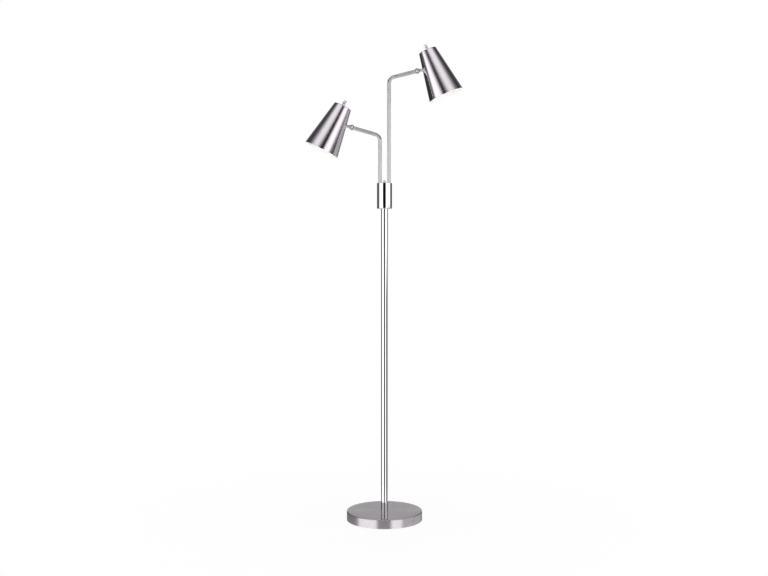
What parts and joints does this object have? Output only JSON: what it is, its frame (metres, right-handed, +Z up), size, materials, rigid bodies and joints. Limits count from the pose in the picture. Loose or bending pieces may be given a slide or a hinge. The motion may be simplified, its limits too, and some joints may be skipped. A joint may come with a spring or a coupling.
{
  "type": "floor lamp with two adjustable reading heads",
  "caption": "Slim floor lamp: round weighted base, straight pole and two bent swivel arms of different height, each with a tilting cone shade and a switch knob.",
  "frame": {"origin": "centre of the base's underside, on the pole's axis, at floor level", "axes": "+Z up along the pole; +X towards the taller arm at rest; -Y is the front"},
  "size_m": [0.5161, 0.2516, 1.565],
  "materials": {
    "brushed_nickel": "brushed nickel plate, grain round the axis",
    "polished_nickel": "polished nickel plate",
    "satin_nickel": "satin nickel plate",
    "zinc_steel": "zinc-plated steel",
    "cast_weight": "bare sand casting",
    "black_foam": "matte foam pad",
    "black_plastic": "moulded, matte",
    "phenolic": "moulded, semi-gloss",
    "brass": "plain brass",
    "lead_jacket": "insulated lead",
    "bulb_cap": "pressed aluminium",
    "bulb_globe": "frosted white glass"
  },
  "bodies": {
    "root": {"base_cover": "brushed_nickel", "base_weight": "cast_weight", "cord_bush": "black_plastic", "base_pad": "black_foam", "bottom_plate": "black_plastic", "base_washer": "zinc_steel", "base_nut": "zinc_steel", "base_nipple": "zinc_steel", "pole_tube": "polished_nickel", "pole_foot_plug": "zinc_steel", "pole_head_plug": "zinc_steel", "junction_sleeve": "polished_nickel", "junction_floor": "zinc_steel", "junction_nut": "zinc_steel", "junction_nipple": "zinc_steel", "splice_caps": "black_plastic", "swivel_plate": "zinc_steel", "junction_lid": "polished_nickel", "tie_rod": "zinc_steel", "finial": "polished_nickel"},
    "tall_arm": {"tall_arm_tube": "satin_nickel", "tall_arm_lead": "lead_jacket", "tall_swivel_plug": "zinc_steel", "tall_swivel_washers": "zinc_steel", "tall_swivel_nut": "zinc_steel", "tall_fork": "satin_nickel", "tall_pivot_screw": "polished_nickel", "tall_pivot_nut": "polished_nickel"},
    "tall_head": {"tall_shade": "brushed_nickel", "tall_neck": "satin_nickel", "tall_neck_nut": "zinc_steel", "tall_switch_body": "zinc_steel", "tall_ring_nut": "polished_nickel", "tall_lampholder": "phenolic", "tall_screw_shell": "brass", "tall_centre_contact": "brass", "tall_bulb_cap": "bulb_cap", "tall_bulb": "bulb_globe"},
    "tall_knob": {"tall_knob": "polished_nickel", "tall_spindle": "zinc_steel"},
    "short_arm": {"short_arm_tube": "satin_nickel", "short_arm_lead": "lead_jacket", "short_swivel_plug": "zinc_steel", "short_swivel_washers": "zinc_steel", "short_swivel_nut": "zinc_steel", "short_fork": "satin_nickel", "short_pivot_screw": "polished_nickel", "short_pivot_nut": "polished_nickel"},
    "short_head": {"short_shade": "brushed_nickel", "short_neck": "satin_nickel", "short_neck_nut": "zinc_steel", "short_switch_body": "zinc_steel", "short_ring_nut": "polished_nickel", "short_lampholder": "phenolic", "short_screw_shell": "brass", "short_centre_contact": "brass", "short_bulb_cap": "bulb_cap", "short_bulb": "bulb_globe"},
    "short_knob": {"short_knob": "polished_nickel", "short_spindle": "zinc_steel"}
  },
  "joints": [
    {"name": "tall_arm_swivel", "type": "hinge", "parent": "root", "child": "tall_arm", "pos_m": [0.01475, 0, 1.112], "axis": [0, 0, 1], "range_deg": [-135, 135]},
    {"name": "tall_head_tilt", "type": "hinge", "parent": "tall_arm", "child": "tall_head", "pos_m": [0.10655, 0, 1.478], "axis": [0, -1, 0], "range_deg": [-45, 60]},
    {"name": "tall_switch_turn", "type": "hinge", "parent": "tall_head", "child": "tall_knob", "pos_m": [0.14015, 0, 1.54514], "axis": [-0.3907, 0, 0.9205], "continuous": true},
    {"name": "short_arm_swivel", "type": "hinge", "parent": "root", "child": "short_arm", "pos_m": [-0.01475, 0, 1.112], "axis": [0, 0, 1], "range_deg": [-135, 135]},
    {"name": "short_head_tilt", "type": "hinge", "parent": "short_arm", "child": "short_head", "pos_m": [-0.10695, 0, 1.2942], "axis": [0, 1, 0], "range_deg": [-45, 60]},
    {"name": "short_switch_turn", "type": "hinge", "parent": "short_head", "child": "short_knob", "pos_m": [-0.13651, 0, 1.36321], "axis": [0.4446, 0, 0.8957], "continuous": true}
  ]
}
